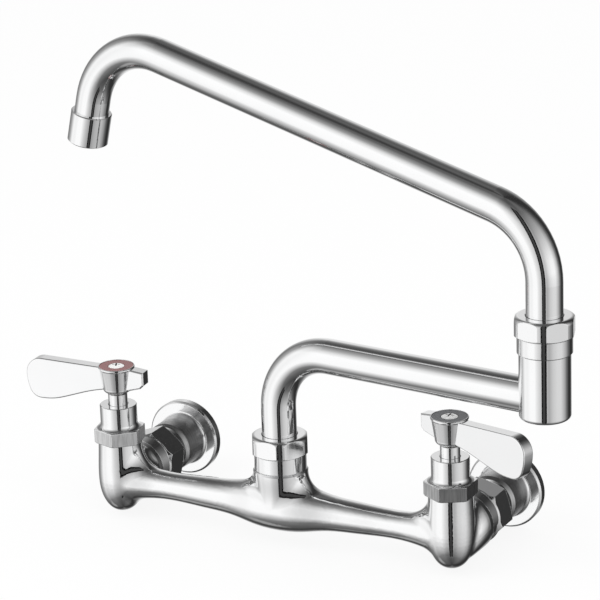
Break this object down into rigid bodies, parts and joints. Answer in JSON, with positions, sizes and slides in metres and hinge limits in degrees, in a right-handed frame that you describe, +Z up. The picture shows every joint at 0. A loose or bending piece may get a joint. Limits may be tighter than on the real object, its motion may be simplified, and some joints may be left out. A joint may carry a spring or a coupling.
{
  "type": "commercial wall faucet",
  "caption": "Wall-mounted commercial kitchen faucet: chromed valve casting with lever handles, wall unions with round flanges, and a jointed tubular swing spout.",
  "frame": {"origin": "on the wall plane, midway between the two inlet axes", "axes": "+X along the wall, to the right as seen from the front; +Y into the wall; +Z up"},
  "size_m": [0.3353, 0.1068, 0.2733],
  "materials": {
    "chrome_casting": "polished chrome plate over a brass casting",
    "chrome_tube": "polished chrome plate over brass tube",
    "chrome_nut": "polished chrome plate over turned brass hexagon",
    "chrome_lever": "polished chrome plate, very smooth",
    "chrome_flange": "polished chrome plate, flat turned face",
    "chrome_sleeve": "polished chrome plate over turned brass",
    "stainless": "bright stainless",
    "brass": "machined, unplated",
    "ceramic": "lapped alumina ceramic",
    "acetal": "natural acetal",
    "seal_rubber": "smooth seal rubber",
    "index_red": "muted red index ring",
    "index_grey": "dark grey index ring"
  },
  "bodies": {
    "fixed": {"faucet_body": "chrome_casting", "cold_bonnet": "chrome_nut", "cold_bonnet_gasket": "seal_rubber", "cold_cartridge_shell": "chrome_sleeve", "cold_fixed_disc": "ceramic", "cold_seat_seal": "seal_rubber", "cold_thrust_washer": "acetal", "coupling_nut_left": "chrome_nut", "coupling_nut_right": "chrome_nut", "coupling_ring_left": "stainless", "coupling_ring_right": "stainless", "hot_bonnet": "chrome_nut", "hot_bonnet_gasket": "seal_rubber", "hot_cartridge_shell": "chrome_sleeve", "hot_fixed_disc": "ceramic", "hot_seat_seal": "seal_rubber", "hot_thrust_washer": "acetal", "inlet_flange_left": "chrome_flange", "inlet_flange_right": "chrome_flange", "inlet_gasket_left": "seal_rubber", "inlet_gasket_right": "seal_rubber", "lower_glide_rings": "acetal", "lower_spout_nut": "chrome_nut"},
    "hot_handle": {"hot_index_ring": "index_red", "hot_lever": "chrome_lever", "hot_lever_screw": "stainless", "hot_moving_disc": "ceramic", "hot_stem": "brass", "hot_stem_clip": "stainless", "hot_stem_orings": "seal_rubber"},
    "cold_handle": {"cold_index_ring": "index_grey", "cold_lever": "chrome_lever", "cold_lever_screw": "stainless", "cold_moving_disc": "ceramic", "cold_stem": "brass", "cold_stem_clip": "stainless", "cold_stem_orings": "seal_rubber"},
    "lower_spout": {"lower_spout_collar": "brass", "lower_spout_orings": "seal_rubber", "lower_spout_tube": "chrome_tube", "swivel_housing": "chrome_tube", "upper_glide_rings": "acetal", "upper_spout_nut": "chrome_nut"},
    "upper_spout": {"aerator_insert": "acetal", "aerator_screen": "stainless", "outlet_housing": "chrome_tube", "outlet_washer": "seal_rubber", "upper_spout_collar": "brass", "upper_spout_orings": "seal_rubber", "upper_spout_tube": "chrome_tube"}
  },
  "joints": [
    {"name": "hot_lever_turn", "type": "hinge", "parent": "fixed", "child": "hot_handle", "pos_m": [-0.1016, -0.073, 0.055], "axis": [0, 0, 1], "range_deg": [0, 90]},
    {"name": "cold_lever_turn", "type": "hinge", "parent": "fixed", "child": "cold_handle", "pos_m": [0.1016, -0.073, 0.055], "axis": [0, 0, 1], "range_deg": [-90, 0]},
    {"name": "lower_spout_swing", "type": "hinge", "parent": "fixed", "child": "lower_spout", "pos_m": [0, -0.073, 0.05], "axis": [0, 0, 1], "range_deg": [-190, 24]},
    {"name": "upper_spout_swing", "type": "hinge", "parent": "lower_spout", "child": "upper_spout", "pos_m": [0.16361, -0.09106, 0.13], "axis": [0, 0, 1], "continuous": true}
  ]
}
